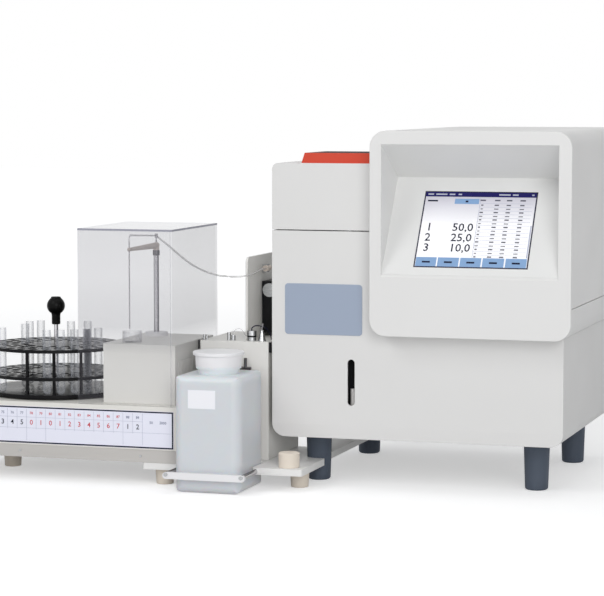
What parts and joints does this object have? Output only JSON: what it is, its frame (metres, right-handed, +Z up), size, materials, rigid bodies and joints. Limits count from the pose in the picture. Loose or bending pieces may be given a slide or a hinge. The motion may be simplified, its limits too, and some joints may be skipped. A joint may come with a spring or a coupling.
{
  "type": "flame photometer",
  "caption": "Bench flame photometer with hinged burner hood, sloping touch display and a docked sampler: tube carousel, lifting and swinging needle arm, dilution pump and rinse bottle",
  "frame": {"origin": "middle of the whole outfit's outline on the bench, at the height of the bench", "axes": "+X to the user's right from the sampler to the photometer, +Y from front to back, +Z up"},
  "size_m": [0.9586, 0.5824, 0.5286],
  "materials": {
    "shell_white": "cream-white powder coat, satin",
    "sampler_white": "warm off-white paint, satin",
    "dark_rubber": "dark grey-blue rubber, matt",
    "beige_plastic": "beige turned plastic, matt",
    "lid_red": "red-orange enamel",
    "black_plastic": "black plastic, fine grain",
    "black_metal": "black heat-proof paint",
    "steel": "bright stainless steel",
    "brass": "turned brass",
    "badge": "silver-blue anodised plate, bare",
    "screen_glass": "touch glass over a lit display",
    "clear_plastic": "clear acrylic",
    "tube_glass": "clear glass",
    "bottle_plastic": "milky translucent plastic",
    "white_plastic": "white plastic",
    "label_film": "printed film with plain numbers",
    "hose_plastic": "off-white soft tube",
    "board_green": "green circuit board",
    "aluminium": "die-cast and milled aluminium",
    "motor_black": "dark motor housing"
  },
  "bodies": {
    "stand": {"case_wrap": "shell_white", "front_panel": "shell_white", "rear_panel": "shell_white", "burner_bulkhead": "aluminium", "upper_tray": "shell_white", "upper_cover": "shell_white", "screen_bezel": "shell_white", "touch_glass": "screen_glass", "lcd_module": "black_plastic", "badge_plate": "badge", "siphon_channel": "black_plastic", "siphon_tube": "hose_plastic", "flame_tube": "steel", "burner_head": "steel", "mixing_chamber": "white_plastic", "nebuliser": "steel", "optics_block": "black_metal", "optics_lenses": "tube_glass", "circuit_boards": "board_green", "power_supply": "aluminium", "air_pump": "motor_black", "gas_valve": "brass", "cooling_fan": "black_plastic", "mains_inlet": "black_plastic", "hose_spigots": "brass", "rubber_feet": "dark_rubber", "fasteners": "steel", "carrier_plate": "white_plastic", "plate_feet": "beige_plastic", "sampler_base": "sampler_white", "position_label": "label_film", "arm_housing": "sampler_white", "rinse_well": "clear_plastic", "column_bush": "white_plastic", "stepper_motors": "motor_black", "bottle_bar": "white_plastic", "bottle_rods": "steel", "dilutor_housing": "sampler_white", "pump_plate": "sampler_white", "pump_head": "black_plastic", "dilutor_fittings": "steel", "sample_hose": "hose_plastic"},
    "hood": {"burner_hood": "shell_white"},
    "lid": {"chimney_lid": "lid_red", "chimney_grille": "black_metal"},
    "rocker": {"mains_switch": "black_plastic"},
    "knob": {"docking_knob": "beige_plastic"},
    "guard": {"acrylic_cover": "clear_plastic"},
    "carousel": {"carousel_disc": "black_plastic", "tube_tiers": "black_plastic", "carousel_posts": "black_plastic", "carousel_handle": "black_plastic", "sample_tubes": "tube_glass"},
    "lift": {"lift_rod": "steel"},
    "arm": {"sampling_arm": "beige_plastic", "needle": "steel", "arm_hose": "hose_plastic"},
    "bottle": {"rinse_bottle": "bottle_plastic"},
    "cap": {"bottle_cap": "white_plastic"},
    "rotor": {"pump_rotor": "aluminium"}
  },
  "joints": [
    {"name": "hood_open", "type": "hinge", "parent": "stand", "child": "hood", "pos_m": [0.1017, 0.26925, 0.38075], "axis": [-1, 0, 0], "range_deg": [0, 75]},
    {"name": "lid_lift", "type": "slide", "parent": "hood", "child": "lid", "axis": [0, 0, 1], "range_m": [0, 0.06]},
    {"name": "switch_rock", "type": "hinge", "parent": "stand", "child": "rocker", "pos_m": [0.4217, 0.25825, 0.15], "axis": [1, 0, 0], "range_deg": [0, 20]},
    {"name": "knob_turn", "type": "hinge", "parent": "stand", "child": "knob", "pos_m": [0.0627, -0.20225, 0.045], "axis": [0, 0, 1], "continuous": true},
    {"name": "guard_lift", "type": "slide", "parent": "stand", "child": "guard", "axis": [0, 0, 1], "range_m": [0, 0.3]},
    {"name": "carousel_spin", "type": "hinge", "parent": "stand", "child": "carousel", "pos_m": [-0.3468, -0.10775, 0.124], "axis": [0, 0, 1], "continuous": true},
    {"name": "arm_lift", "type": "slide", "parent": "stand", "child": "lift", "axis": [0, 0, -1], "range_m": [0, 0.085]},
    {"name": "arm_swing", "type": "hinge", "parent": "lift", "child": "arm", "pos_m": [-0.1973, -0.06275, 0.3477], "axis": [0, 0, -1], "range_deg": [0, 71.95]},
    {"name": "bottle_lift", "type": "slide", "parent": "stand", "child": "bottle", "axis": [0, 0, 1], "range_m": [0, 0.1]},
    {"name": "cap_lift", "type": "slide", "parent": "bottle", "child": "cap", "axis": [0, 0, 1], "range_m": [0, 0.03]},
    {"name": "pump_spin", "type": "hinge", "parent": "stand", "child": "rotor", "pos_m": [-0.0193, -0.02375, 0.2775], "axis": [1, 0, 0], "continuous": true}
  ]
}
